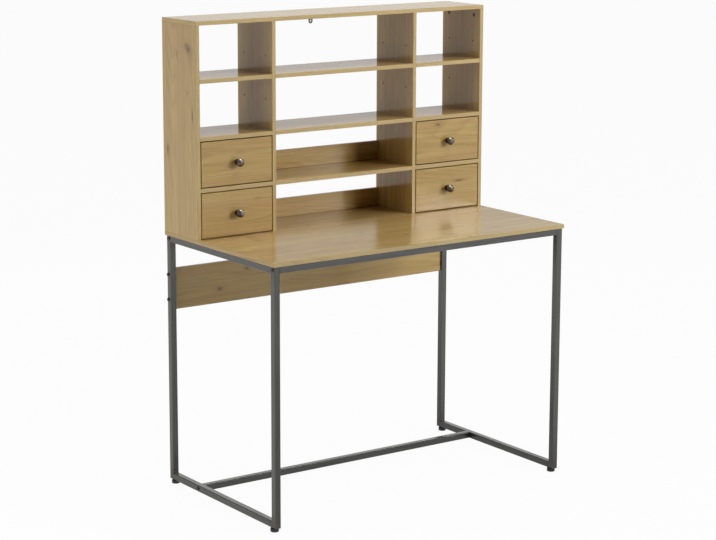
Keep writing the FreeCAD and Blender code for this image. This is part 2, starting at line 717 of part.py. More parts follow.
def drawer(name, left, right, floor):
    """Inset drawer: front, walls, bottom and knob."""
    x0 = left + DRAWER_GAP
    x1 = right - DRAWER_GAP
    joint_y = HUTCH_FRONT + BOARD
    end_y = BAY_BACK_Y - DRAWER_STOP
    low = floor + DRAWER_RUN
    panel_z = low + BOTTOM_LIFT
    panel_top = panel_z + BOX_BOTTOM
    middle = (left + right) / 2
    knob_z = floor + DRAWER_BAY / 2
    inner0 = x0 + BOX_BOARD
    inner1 = x1 - BOX_BOARD
    groove = box(
        inner0 - BOTTOM_GROOVE, inner1 + BOTTOM_GROOVE, joint_y - BOTTOM_GROOVE, end_y + PAST,
        panel_z - GROOVE_FIT, panel_top + GROOVE_FIT,
    )
    hole_start = V(middle, HUTCH_FRONT - PAST, knob_z)
    knob_hole = span(hole_start, V(middle, joint_y + PAST, knob_z), SCREW_RADIUS + CLEAR_FIT)
    front = board(x0, x1, HUTCH_FRONT, joint_y, floor + DRAWER_GAP, floor + DRAWER_BAY - DRAWER_GAP)
    walls = [
        board(x0, inner0, joint_y, end_y, low, low + BOX_HEIGHT, Y).cut(groove),
        board(inner1, x1, joint_y, end_y, low, low + BOX_HEIGHT, Y).cut(groove),
        board(inner0, inner1, end_y - BOX_BOARD, end_y, panel_top + GROOVE_FIT, low + BOX_HEIGHT, X),
    ]
    bottom = box(
        inner0 - BOTTOM_GROOVE + GROOVE_FIT, inner1 + BOTTOM_GROOVE - GROOVE_FIT,
        joint_y - BOTTOM_GROOVE + GROOVE_FIT, end_y, panel_z, panel_top,
    )
    return {
        f"{name}_front": front.cut([groove, knob_hole]),
        f"{name}_walls": Part.makeCompound(walls),
        f"{name}_bottom": bottom,
        f"{name}_knob": knob(middle, knob_z),
    }


def drawers():
    """Two drawers in each side bay."""
    parts = {}
    for side in ("left", "right"):
        left, right = BAYS[side]
        for row, floor in (("lower", DESK_HEIGHT), ("upper", LOW_Z + BOARD)):
            parts.update(drawer(f"{row}_{side}_drawer", left, right, floor))
    return parts


def build():
    """Every node of the desk by its name."""
    parts = {}
    for group in (side_frames, cross_rails, levelling_feet, modesty_panel, uprights, shelves):
        parts.update(group())
    for group in (back_strips, bay_backs, drawers):
        parts.update(group())
    for piece in (frame_bolts, foot_inserts, desktop, hutch_top, wall_bracket):
        parts[piece.__name__] = piece()
    for piece in (panel_screws, wood_dowels, cam_fittings, shelf_pins):
        parts[piece.__name__] = piece()
    return parts


os.makedirs("parts", exist_ok=True)
for node, shape in build().items():
    shape.exportStep(f"parts/{node}.step")
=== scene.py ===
"""Dresses a computer desk with a hutch: oak boards, steel frame, drawers, feet and small fittings."""
import json
import logging
import math
from dataclasses import dataclass, replace
from enum import Enum, IntEnum
from typing import Mapping, TypeAlias

import bmesh
import bpy
from bpy.types import Collection, Material, NodeSocket, NodeTree, Object
from mathutils import Matrix, Vector

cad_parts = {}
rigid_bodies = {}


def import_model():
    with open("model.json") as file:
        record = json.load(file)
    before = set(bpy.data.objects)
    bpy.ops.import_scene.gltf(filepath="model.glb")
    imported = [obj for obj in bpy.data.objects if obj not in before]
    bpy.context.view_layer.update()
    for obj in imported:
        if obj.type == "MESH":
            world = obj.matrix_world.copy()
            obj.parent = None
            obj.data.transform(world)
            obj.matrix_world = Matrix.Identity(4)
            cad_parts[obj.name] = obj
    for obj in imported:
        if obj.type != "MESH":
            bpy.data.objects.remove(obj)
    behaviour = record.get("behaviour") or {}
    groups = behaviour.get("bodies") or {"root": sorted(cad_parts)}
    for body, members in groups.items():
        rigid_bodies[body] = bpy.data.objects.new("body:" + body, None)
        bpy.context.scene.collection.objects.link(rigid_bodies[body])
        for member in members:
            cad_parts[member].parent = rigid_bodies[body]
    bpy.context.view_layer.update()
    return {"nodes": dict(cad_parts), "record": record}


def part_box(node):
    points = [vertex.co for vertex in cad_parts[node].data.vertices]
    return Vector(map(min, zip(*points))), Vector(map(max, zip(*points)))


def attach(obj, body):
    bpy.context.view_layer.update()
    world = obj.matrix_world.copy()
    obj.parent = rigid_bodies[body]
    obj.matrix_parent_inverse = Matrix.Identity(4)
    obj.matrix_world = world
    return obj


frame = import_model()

LOG = logging.getLogger("desk")

Colour: TypeAlias = tuple[float, float, float]
Point: TypeAlias = tuple[float, float, float]
Span: TypeAlias = tuple[float, float]
Shares: TypeAlias = tuple[float, ...]
Feed: TypeAlias = "Signal | float | tuple[float, ...]"

WHITE: Colour = (1.0, 1.0, 1.0)
MIDDLE = 0.5  # of a noise's values
SPREAD: Span = (0.3, 0.7)  # between which most of a noise's values lie


def srgb(red: float, green: float, blue: float) -> Colour:
    """Turns a display colour, 0 to 255 each, into linear light, 0 to 1 each."""
    shown = (red / 255, green / 255, blue / 255)
    return tuple(c / 12.92 if c <= 0.04045 else ((c + 0.055) / 1.055) ** 2.4 for c in shown)


def grey(level: float) -> Colour:
    """Gives a grey of a level in linear light."""
    return level, level, level


def linked(name: str, mesh: bmesh.types.BMesh) -> Object:
    """Turns a finished mesh into an object of the scene.

    Args:
        name: The object's name.
        mesh: The mesh, which is freed.

    Returns:
        The object.
    """
    data = bpy.data.meshes.new(name)
    mesh.to_mesh(data)
    mesh.free()
    piece = bpy.data.objects.new(name, data)
    bpy.context.scene.collection.objects.link(piece)
    return piece


class Axis(IntEnum):
    """A direction of the row frame."""

    X = 0
    Y = 1
    Z = 2


class Layout(Enum):
    """How the grain lies on a wooden node."""

    BOARD = "one board, grain along its longest side"
    WALLS = "upright walls, grain level all the way round"


class Gloss(Enum):
    """How gloss mirrors a lamp."""

    NONE = "not at all"
    FULL = "as bright as it is"
    SOFT = "dimly in the boards, and as bright as it is in metal"
    METAL = "only in metal, and the lamp gives no other light"


class Signal:
    """A value that runs through a shader; Python's operators add its Math nodes."""

    def __init__(self, shader: "Shader", socket: NodeSocket) -> None:
        """Keeps the shader and the output socket that gives the value."""
        self.shader = shader
        self.socket = socket

    def _math(self, operation: str, first: Feed, second: Feed = 0.0) -> "Signal":
        """Adds one Math node."""
        return self.shader.node("ShaderNodeMath", {"operation": operation}, {0: first, 1: second})

    def __add__(self, other: Feed) -> "Signal":
        """Adds a value."""
        return self._math("ADD", self, other)

    def __radd__(self, other: Feed) -> "Signal":
        """Adds to a value."""
        return self._math("ADD", other, self)

    def __sub__(self, other: Feed) -> "Signal":
        """Takes a value away."""
        return self._math("SUBTRACT", self, other)

    def __rsub__(self, other: Feed) -> "Signal":
        """Is taken away from a value."""
        return self._math("SUBTRACT", other, self)

    def __mul__(self, other: Feed) -> "Signal":
        """Multiplies by a value."""
        return self._math("MULTIPLY", self, other)

    def __rmul__(self, other: Feed) -> "Signal":
        """Multiplies a value."""
        return self._math("MULTIPLY", other, self)

    def __abs__(self) -> "Signal":
        """Drops the sign."""
        return self._math("ABSOLUTE", self)

    def fract(self) -> "Signal":
        """Keeps what is past the whole number."""
        return self._math("FRACT", self)

    def root(self) -> "Signal":
        """Takes the square root."""
        return self._math("SQRT", self)

    def falloff(self) -> "Signal":
        """Falls from 1 at nought towards 0, as e to the minus value."""
        return self._math("EXPONENT", self * -1.0)

    def least(self, other: Feed) -> "Signal":
        """Takes the smaller of two values."""
        return self._math("MINIMUM", self, other)

    def most(self, other: Feed) -> "Signal":
        """Takes the larger of two values."""
        return self._math("MAXIMUM", self, other)

    def fade(self, low: float, high: float) -> "Signal":
        """Rises smoothly from 0 at low to 1 at high."""
        sockets = {0: self, 1: low, 2: high, 3: 0.0, 4: 1.0}
        return self.shader.node("ShaderNodeMapRange", {"interpolation_type": "SMOOTHSTEP"}, sockets)

    def towards(self, other: "Signal", share: Feed) -> "Signal":
        """Goes over to another value by a share of 0 to 1."""
        return self + (other - self) * share


class Shader:
    """The node tree of a material or of the world."""

    def __init__(self, tree: NodeTree) -> None:
        """Empties the tree, to fill it anew."""
        self.tree = tree
        self.tree.nodes.clear()

    @classmethod
    def of_material(cls, name: str) -> tuple["Shader", Material]:
        """Makes a material with an empty tree.

        Args:
            name: The material's name.

        Returns:
            The shader and its material.
        """
        material = bpy.data.materials.new(name)
        material.use_nodes = True
        return cls(material.node_tree), material

    def node(self, kind: str, settings: Mapping[str, object], sockets: Mapping[int | str, Feed],
             output: int | str = 0) -> Signal:
        """Adds one node.

        Args:
            kind: Blender's name of the node's type.
            settings: What is set on the node before its sockets.
            sockets: The value or link of each input, by index or name.
            output: Which output is wanted.

        Returns:
            That output.
        """
        made = self.tree.nodes.new(kind)
        for name, value in settings.items():
            setattr(made, name, value)
        for key, value in sockets.items():
            self.feed(made.inputs[key], value)
        return Signal(self, made.outputs[output])

    def feed(self, socket: NodeSocket, value: Feed) -> None:
        """Links a signal to a socket, or sets a constant on it.

        Args:
            socket: The input.
            value: A signal, a number or a colour or vector.
        """
        if isinstance(value, Signal):
            self.tree.links.new(value.socket, socket)
        elif socket.type == "RGBA":
            socket.default_value = (*value, 1.0)
        else:
            socket.default_value = value

    def place(self) -> tuple[Signal, Signal, Signal]:
        """Gives the point of the surface, in metres in the row frame."""
        return self.parts(self.node("ShaderNodeTexCoord", {}, {}, "Object"))

    def facing(self) -> tuple[Signal, Signal, Signal]:
        """Gives the way the surface faces, in the row frame."""
        return self.parts(self.node("ShaderNodeTexCoord", {}, {}, "Normal"))

    def parts(self, vector: Signal) -> tuple[Signal, Signal, Signal]:
        """Splits a vector into its x, y and z."""
        split = self.node("ShaderNodeSeparateXYZ", {}, {0: vector}).socket.node
        return tuple(Signal(self, output) for output in split.outputs)

    def noise(self, x: Feed, y: Feed, z: Feed, detail: float = 2.0, roughness: float = 0.5) -> Signal:
        """Reads smooth noise whose features are about 1 unit wide.

        Args:
            x: First coordinate.
            y: Second one.
            z: Third one.
            detail: Octaves of finer noise.
            roughness: Their weight.

        Returns:
            A value around 0.5.
        """
        point = self.node("ShaderNodeCombineXYZ", {}, {0: x, 1: y, 2: z})
        sockets = {"Vector": point, "Scale": 1.0, "Detail": detail, "Roughness": roughness}
        return self.node("ShaderNodeTexNoise", {"noise_dimensions": "3D"}, sockets)

    def mix(self, share: Feed, first: Feed, second: Feed) -> Signal:
        """Mixes two colours; a share of 0 gives the first and 1 the second."""
        settings = {"data_type": "RGBA", "clamp_factor": True}
        return self.node("ShaderNodeMix", settings, {0: share, 6: first, 7: second}, 2)

    def cloud(self, rate: float, detail: float, roughness: float, seed: float = 0.0) -> Signal:
        """Reads noise as fine along every axis, with so many features along one metre."""
        x, y, z = self.place()
        return self.noise(x * rate, y * rate, z * rate + seed, detail, roughness)

    def rounded(self, edges: Span) -> Signal:
        """Is 1 up to the first share of facing along an axis, as on rounded edges, and 0 from the second."""
        x, y, z = (abs(share) for share in self.facing())
        return 1.0 - x.most(y).most(z).fade(*edges)

    def ray(self, output: str) -> Signal:
        """Tells about the ray that meets the surface, by the name of the Light Path output."""
        return self.node("ShaderNodeLightPath", {}, {}, output)

    def bump(self, height: Signal, depth: float) -> Signal:
        """Turns a height of 0 to 1 into a normal, for a relief of the given depth in metres."""
        return self.node("ShaderNodeBump", {}, {"Height": height, "Distance": depth, "Strength": 1.0})

    def surface(self, **sockets: Feed) -> None:
        """Ends the tree in one Principled surface.

        Args:
            sockets: Values by socket name, with underscores for spaces.
        """
        named = {("IOR" if name == "ior" else name.replace("_", " ").title()): value
                 for name, value in sockets.items()}
        shader = self.node("ShaderNodeBsdfPrincipled", {}, named)
        self.node_out("ShaderNodeOutputMaterial", shader)

    def node_out(self, kind: str, shader: Signal) -> None:
        """Links a finished shader to an output node."""
        self.feed(self.tree.nodes.new(kind).inputs["Surface"], shader)


def weighted(shares: Shares, *signals: Signal, start: float = 0.0) -> Signal:
    """Adds each signal times its share to a start."""
    return sum((signal * share for signal, share in zip(signals, shares)), start)


def nodes_in(slot: str) -> list[str]:
    """Lists the nodes of one of the record's material slots, in the order of their names."""
    return sorted(part["node"] for part in frame["record"]["subparts"] if part["material_slot"] == slot)


def dress(node: str, material: Material) -> None:
    """Gives a CAD node a material.

    Args:
        node: The node's name.
        material: Its new material.
    """
    piece = frame["nodes"][node]
    if not piece.material_slots:
        piece.data.materials.append(material)
    for slot in piece.material_slots:
        slot.material = material
    LOG.info("dressed %s", node)


def longest_axes(node: str) -> tuple[Axis, Axis, Axis]:
    """Gives the axes of a node's length, width and thickness."""
    low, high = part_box(node)
    return tuple(sorted(Axis, key=lambda axis: low[axis] - high[axis]))


@dataclass(frozen=True)
class Layer:
    """A layer of noise in the oak print, stretched along the grain.

    Attributes:
        along: Features along one metre of grain.
        across: Features along one metre across the grain.
        shift: What sets its noise apart from the other layers'.
        detail: Octaves of finer noise.
        roughness: Weight of the finer octaves.
        edges: Noise where the layer begins and is full, unless it is plain noise.
    """

    along: float
    across: float
    shift: float
    detail: float = 2.0
    roughness: float = 0.5
    edges: Span | None = None

    def read(self, shader: Shader, along: Signal, across: Signal, seed: float) -> Signal:
        """Reads the layer so many metres along and across the grain of the board with a seed."""
        value = shader.noise(along * self.along, across * self.across, seed + self.shift,
                             self.detail, self.roughness)
        return value.fade(*self.edges) if self.edges else value


WAVER = Layer(9.0, 60.0, 0.0)
GNARL = Layer(75.0, 150.0, 17.0)
RINGS = Layer(0.8, 7.0, 0.0, 2.0, 0.4)
TONE = Layer(1.3, 34.0, 3.0, 4.0, 0.6, SPREAD)
WIDE = Layer(0.6, 5.0, 5.0, 2.0, 0.5, SPREAD)
FIBRE = Layer(22.0, 760.0, 7.0, 3.0, 0.6)
PORE = Layer(38.0, 1250.0, 9.0, 1.0, 0.5, (0.58, 0.74))
STREAK = Layer(2.6, 95.0, 11.0, 3.0, 0.6, (0.36, 0.74))
FLECK = Layer(8.0, 230.0, 13.0, 2.0, 0.5, (0.60, 0.76))
WARM = Layer(1.2, 16.0, 15.0, 2.0, 0.5, (0.42, 0.68))


@dataclass(frozen=True)
class Knot:
    """A knot or a dark streak in the print of a board.

    Attributes:
        point: Its place in the row frame, in metres.
        radius: Half its width across the grain.
        stretch: How many times longer than wide it is.
        strength: How dark it is, 0 to 1.
    """

    point: Point
    radius: float
    stretch: float
    strength: float


@dataclass(frozen=True)
class OakFinish:
    """Satin oak print on faced board, with rings, fibres, pores and knots.

    Attributes:
        pale: Early wood.
        honey: The main tone.
        brown: Late wood and pores.
        rose: Warmer streaks.
        band: The strip on a board's long edges.
        heart: The middle of a knot.
        gloss: Roughness of the clear coat.
        ior: Its refraction.
        relief: Depth of the grain.
        figure: How strongly the grain shows.
        ring_rate: Rings across one metre.
        ring_drift: How far they wander, in rings.
        late_rise: Where in a ring late wood begins and is full.
        late_fall: Where it begins to end and is gone.
        early_pores: Share of pores outside the late wood.
        wander: How far fibres wander.
        apart: How far apart boards lie on the print, along and across.
        ragged: How ragged knots are, along and across.
        pull: How far the grain bends round a knot.
        knot_brown: Brown round a knot.
        knot_falls: How fast it and the heart fall off.
        pale_shares: What narrow and wide bands give to the pale tone.
        brown_shares: What late wood, streaks, flecks and fibres give to the brown.
        rose_share: Most of the rose tone.
        pore_share: Most of the pores' brown.
        band_share: Share of the edge strip's tone.
        worn_share: How pale worn edges are.
        seam_dust_and_shade_share: How dark the seam under a back strip is, as dust and painted shade.
        uneven: What pores, fibres and narrow bands add to the roughness.
        heights: What fibres, pores and late wood give to the relief.
        end_facing: Facing along the grain where an end begins and is full.
        band_facing: Facing across the board where its edge strip begins and is full.
        edge_facing: Facing along an axis where an edge is rounded, and is flat.
        seam_dust_and_shade_height: Height where the seam's dust and painted shade begin to fade and are gone.
    """

    pale: Colour = srgb(199, 172, 111)
    honey: Colour = srgb(181, 151, 88)
    brown: Colour = srgb(146, 115, 60)
    rose: Colour = srgb(185, 148, 99)
    band: Colour = srgb(207, 188, 142)
    heart: Colour = srgb(88, 62, 40)
    gloss: float = 0.14
    ior: float = 1.47
    relief: float = 0.00004
    figure: float = 1.0
    ring_rate: float = 80.0
    ring_drift: float = 26.0
    late_rise: Span = (0.25, 0.86)
    late_fall: Span = (0.88, 1.0)
    early_pores: float = 0.35
    wander: float = 0.002
    apart: Span = (1.37, 0.61)
    ragged: Span = (1.4, 0.9)
    pull: float = 0.7
    knot_brown: float = 0.45
    knot_falls: Span = (0.2, 1.2)
    pale_shares: Shares = (0.6, 0.4)
    brown_shares: Shares = (0.2, 0.24, 0.36, 0.5)
    rose_share: float = 0.45
    pore_share: float = 0.5
    band_share: float = 0.42
    worn_share: float = 0.5
    seam_dust_and_shade_share: float = 0.8
    uneven: Shares = (0.14, 0.06, 0.03)
    heights: Shares = (0.5, -0.6, -0.15)
    end_facing: Span = (0.55, 0.65)
    band_facing: Span = (0.6, 0.8)
    edge_facing: Span = (0.80, 0.97)
    seam_dust_and_shade_height: Span = (0.0008, 0.0024)

    def flow(self, shader: Shader, node: str, layout: Layout) -> tuple[Signal, Signal]:
        """Finds the place along and across the grain.

        Args:
            shader: The material's shader.
            node: The node it is for.
            layout: How the grain lies on it.

        Returns:
            Metres along the grain and across it.
        """
        place = shader.place()
        if layout is Layout.WALLS:
            return place[0] + place[1], place[2]
        grain, width, thick = longest_axes(node)
        ends = abs(shader.facing()[grain]).fade(*self.end_facing)
        along = place[grain].towards(place[width], ends)
        across = (place[width] + place[thick]).towards(place[thick] + place[grain], ends)
        return along, across

    def knotted(self, shader: Shader, node: str, seed: float, grain: tuple[Signal, Signal],
                knots: tuple[Knot, ...]) -> tuple[Signal, Feed, Feed]:
        """Bends the grain round a board's knots.

        Args:
            shader: The material's shader.
            node: The node it is for.
            seed: The board's own number.
            grain: Metres along the grain and across it.
            knots: The board's knots.

        Returns:
            Metres across the bent grain, the share of brown round the knots, and of their hearts.
        """
        along, across = grain
        waver = WAVER.read(shader, along, across, seed) - MIDDLE
        bent = across + waver * self.wander
        halo: Feed = 0.0
        core: Feed = 0.0
        halo_fall, core_fall = self.knot_falls
        length, width, thick = longest_axes(node)
        for knot in knots:
            off_along = along - knot.point[length]
            off_across = across - (knot.point[width] + knot.point[thick])
            gnarl = GNARL.read(shader, along, across, seed) - MIDDLE
            run = off_along * (1.0 / knot.radius / knot.stretch) + gnarl * self.ragged[0]
            cross = off_across * (1.0 / knot.radius) + (waver - gnarl) * self.ragged[1]
            reach = run * run + cross * cross
            near = (reach * halo_fall).falloff()
            bent = bent - off_across * near * self.pull
            halo = halo + near * (self.knot_brown * knot.strength)
            core = core + (reach * core_fall).falloff() * knot.strength
        return bent, halo, core

    def material(self, node: str, seed: float, knots: tuple[Knot, ...], layout: Layout) -> Material:
        """Makes the oak of one board.

        Args:
            node: The node it is for.
            seed: The board's own number.
            knots: The board's knots.
            layout: How the grain lies on it.

        Returns:
            The material.
        """
        shader, material = Shader.of_material(f"oak_{node}")
        grain = self.flow(shader, node, layout)
        bent, halo, core = self.knotted(shader, node, seed, grain, knots)
        u = grain[0] + seed * self.apart[0]
        v = bent + seed * self.apart[1]
        field, tone, wide, fibre, pore, streak, fleck, warm = (
            layer.read(shader, u, v, seed) for layer in (RINGS, TONE, WIDE, FIBRE, PORE, STREAK, FLECK, WARM))
        ring = (field * self.ring_drift + v * self.ring_rate).fract()
        late = ring.fade(*self.late_rise) * (1.0 - ring.fade(*self.late_fall))
        pore = pore * (self.early_pores + (1.0 - self.early_pores) * late)
        figure = weighted(self.brown_shares, late, streak, fleck, fibre - MIDDLE)
        colour = shader.mix(weighted(self.pale_shares, tone, wide), self.honey, self.pale)
        colour = shader.mix(warm * self.rose_share, colour, self.rose)
        colour = shader.mix(figure * self.figure, colour, self.brown)
        colour = shader.mix(pore * self.pore_share, colour, self.brown)
        colour = shader.mix(halo, colour, self.brown)
        colour = shader.mix(core, colour, self.heart)
        if layout is Layout.BOARD:
            edge = abs(shader.facing()[longest_axes(node)[1]]).fade(*self.band_facing)
            colour = shader.mix(edge * self.band_share, colour, self.band)
        colour = shader.mix(shader.rounded(self.edge_facing) * self.worn_share, colour, self.pale)
        # Dust and painted shade along the seam at a back strip's foot, where it meets the shelf.
        if node.endswith("_back_strip"):
            seam_dust_and_shade = 1.0 - (shader.place()[2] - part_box(node)[0].z).fade(*self.seam_dust_and_shade_height)
            colour = shader.mix(seam_dust_and_shade * self.seam_dust_and_shade_share, colour, self.heart)
        rough = weighted(self.uneven, pore, fibre - MIDDLE, tone, start=self.gloss)
        normal = shader.bump(weighted(self.heights, fibre, pore, late), self.relief)
        shader.surface(base_color=colour, roughness=rough, ior=self.ior, normal=normal)
        return material


@dataclass(frozen=True)
class SteelFinish:
    """Clear-coated gunmetal tube, streaked along its length and warmed near the welds.

    Attributes:
        grey: The main tone.
        pale: Burnished streaks and corners.
        heat: The tint beside a weld.
        gloss: Roughness.
        metallic: Share of bare metal under the coat.
        ior: Refraction of the coat.
        relief: Depth of the grit.
        streak_rate: Streaks along one metre of tube, and of its width.
        cloud_rate: Clouds along one metre.
        grit_rate: Specks along one metre.
        streak_edges: Noise where a streak begins and is full.
        edge_facing: Facing along an axis where an edge is rounded, and is flat.
        pale_shares: What streaks and edges give to the pale tone.
        heat_reach: How far a weld's tint reaches.
        heat_shares: Least tint by a weld, and what clouds add.
        uneven: What streaks, clouds and grit add to the roughness.
        heights: What grit and clouds give to the relief.
    """

    grey: Colour = (0.085, 0.085, 0.081)
    pale: Colour = (0.132, 0.131, 0.125)
    heat: Colour = (0.074, 0.064, 0.056)
    gloss: float = 0.30
    metallic: float = 0.9
    ior: float = 1.5
    relief: float = 0.00006
    streak_rate: Span = (6.0, 420.0)
    cloud_rate: float = 14.0
    grit_rate: float = 900.0
    streak_edges: Span = (0.35, 0.75)
    edge_facing: Span = (0.78, 0.98)
    pale_shares: Shares = (0.5, 0.35)
    heat_reach: float = 0.017
    heat_shares: Shares = (0.35, 0.6)
    uneven: Shares = (0.16, 0.14, 0.06)
    heights: Shares = (0.6, 0.4)

    def material(self, name: str, length: Axis, seed: float, welds: tuple[Span, ...] = ()) -> Material:
        """Makes the steel of one tube.

        Args:
            name: The material's name.
            length: The tube's axis.
            seed: The tube's own number.
            welds: The welds' places in the side frame, y and z.

        Returns:
            The material.
        """
        shader, material = Shader.of_material(name)
        place = shader.place()
        along_rate, round_rate = self.streak_rate
        first, second = (value for index, value in enumerate(place) if index != length)
        streak = shader.noise(place[length] * along_rate + seed, first * round_rate,
                              second * round_rate, 3.0, 0.6)
        cloud = shader.cloud(self.cloud_rate, 3.0, 0.55, seed)
        grit = shader.cloud(self.grit_rate, 2.0, 0.5)
        share = weighted(self.pale_shares, streak.fade(*self.streak_edges), shader.rounded(self.edge_facing))
        colour = shader.mix(share, self.grey, self.pale)
        hot: Feed = 0.0
        for weld_y, weld_z in welds:
            off_y = place[1] - weld_y
            off_z = place[2] - weld_z
            hot = hot + ((off_y * off_y + off_z * off_z) * (1.0 / self.heat_reach ** 2)).falloff()
        if welds:
            least, added = self.heat_shares
            colour = shader.mix(hot * (least + cloud * added), colour, self.heat)
        rough = weighted(self.uneven, streak - MIDDLE, cloud - MIDDLE, grit - MIDDLE, start=self.gloss)
        normal = shader.bump(weighted(self.heights, grit, cloud), self.relief)
        shader.surface(base_color=colour, metallic=self.metallic, roughness=rough, ior=self.ior,
                       normal=normal)
        return material


@dataclass(frozen=True)
class KnobFinish:
    """Dark turned pewter, worn bright where a finger lies on the crown, with a painted highlight on the
    crown's top and painted shade on its neck.

    Attributes:
        neck_shade: Painted shade on the neck and its hollow.
        dark: The crown's sides.
        bright: The top of the crown, worn bright by rubbing and lighter still as a painted highlight.
        gloss: Roughness of the crown where the rub lies.
        relief: Depth of the turning marks.
        ring_rate: Turning marks along one metre.
        patina_rate: Patches along one metre.
        crown_depth: How far from the crown's front the rub and its painted highlight reach.
        neck_shade_depth: How far from it the neck's painted shade begins and is full.
        highlight_facing: Facing up where the painted highlight on the rub begins and is full.
        rub_and_highlight_shares: Least rub and painted highlight on top, and what the patina adds.
        uneven: What unrubbed metal, turning marks and patina add to the roughness.
        heights: What turning marks and patina give to the relief.
    """

    neck_shade: Colour = (0.045, 0.038, 0.030)
    dark: Colour = (0.135, 0.114, 0.094)
    bright: Colour = (0.54, 0.50, 0.45)
    gloss: float = 0.18
    relief: float = 0.00002
    ring_rate: float = 2600.0
    patina_rate: float = 190.0
    crown_depth: float = 0.016
    neck_shade_depth: Span = (0.010, 0.017)
    highlight_facing: Span = (0.1, 0.75)
    rub_and_highlight_shares: Shares = (0.7, 0.3)
    uneven: Shares = (0.14, 0.06, 0.1)
    heights: Shares = (0.8, 0.2)

    def material(self, node: str, seed: float) -> Material:
        """Makes the metal of one knob.

        Args:
            node: The knob's node.
            seed: The knob's own number.

        Returns:
            The material.
        """
        low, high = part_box(node)
        shader, material = Shader.of_material(f"pewter_{node}")
        x, y, z = shader.place()
        off_x = x - (low.x + high.x) / 2
        off_z = z - (low.z + high.z) / 2
        radius = (off_x * off_x + off_z * off_z).root()
        rings = shader.noise(radius * self.ring_rate, y * self.ring_rate, seed, 2.0, 0.6)
        patina = shader.cloud(self.patina_rate, 4.0, 0.6, seed)
        depth = y - low.y
        least, added = self.rub_and_highlight_shares
        # The crown's rub, lighter on its upward face as a painted highlight.
        rub_and_highlight = ((1.0 - depth.fade(0.0, self.crown_depth)) * shader.facing()[2].fade(*self.highlight_facing)
                  * (least + added * patina.fade(*SPREAD)))
        # Painted shade on the neck, darker further back from the crown.
        colour = shader.mix(depth.fade(*self.neck_shade_depth), self.dark, self.neck_shade)
        colour = shader.mix(rub_and_highlight, colour, self.bright)
        rough = weighted(self.uneven, 1.0 - rub_and_highlight, rings - MIDDLE, patina - MIDDLE, start=self.gloss)
        normal = shader.bump(weighted(self.heights, rings, patina), self.relief)
        shader.surface(base_color=colour, metallic=1.0, roughness=rough, normal=normal)
        return material


@dataclass(frozen=True)
class MottledFinish:
    """A small piece's finish: two tones in fine speckle over soft clouds.

    Attributes:
        name: The material's name.
        dark: The darker tone.
        light: The lighter tone.
        metallic: 1 for metal, 0 for the rest.
        gloss: Middle roughness.
        grain: Speckles along one metre.
        relief: Depth of the speckle.
        cloud_rate: Clouds along one metre.
        light_shares: What speckles, clouds and edges give to the lighter tone.
        uneven: What speckles and clouds add to the roughness.
        edge_facing: Facing along an axis where an edge is rounded, and is flat.
    """

    name: str
    dark: Colour
    light: Colour
    metallic: float
    gloss: float
    grain: float
    relief: float
    cloud_rate: float = 40.0
    light_shares: Shares = (0.6, 0.3, 0.2)
    uneven: Shares = (0.2, 0.16)
    edge_facing: Span = (0.75, 0.98)

    def material(self) -> Material:
        """Makes the finish.

        Returns:
            The material.
        """
        shader, material = Shader.of_material(self.name)
        speck = shader.cloud(self.grain, 3.0, 0.6)
        cloud = shader.cloud(self.cloud_rate, 3.0, 0.5)
        share = weighted(self.light_shares, speck.fade(*SPREAD), cloud.fade(*SPREAD),
                         shader.rounded(self.edge_facing))
        rough = weighted(self.uneven, speck - MIDDLE, cloud - MIDDLE, start=self.gloss)
        shader.surface(base_color=shader.mix(share, self.dark, self.light), metallic=self.metallic,
                       roughness=rough, normal=shader.bump(speck, self.relief))
        return material


@dataclass
class OakBoards:
    """Every oak board of the desktop, the hutch, the modesty panel and the drawers.

    Attributes:
        finish: The print on the boards.
        knots: The knots that show, by board.
        bold: How strongly the grain shows on the desktop.
        dulled: Roughness of the desktop's worn coat.
        seeds: The first board's number, and the step to the next one's.
    """

    finish: OakFinish
    knots: Mapping[str, tuple[Knot, ...]]
    bold: float = 1.6
    dulled: float = 0.18
    seeds: Span = (1.7, 2.3)

    def dress(self) -> None:
        """Gives each board a material of its own."""
        used = replace(self.finish, figure=self.bold, gloss=self.dulled)
        for index, node in enumerate(nodes_in("oak_board")):
            layout = Layout.WALLS if node.endswith("_walls") else Layout.BOARD
            finish = used if node == "desktop" else self.finish
            seed = self.seeds[0] + index * self.seeds[1]
            dress(node, finish.material(node, seed, self.knots.get(node, ()), layout))


@dataclass(frozen=True)
class Corner:
    """An inner corner of a side frame.

    Attributes:
        point: Its place.
        into: Signs of the way into the frame, in y and z.
    """

    point: Point
    into: tuple[int, int]


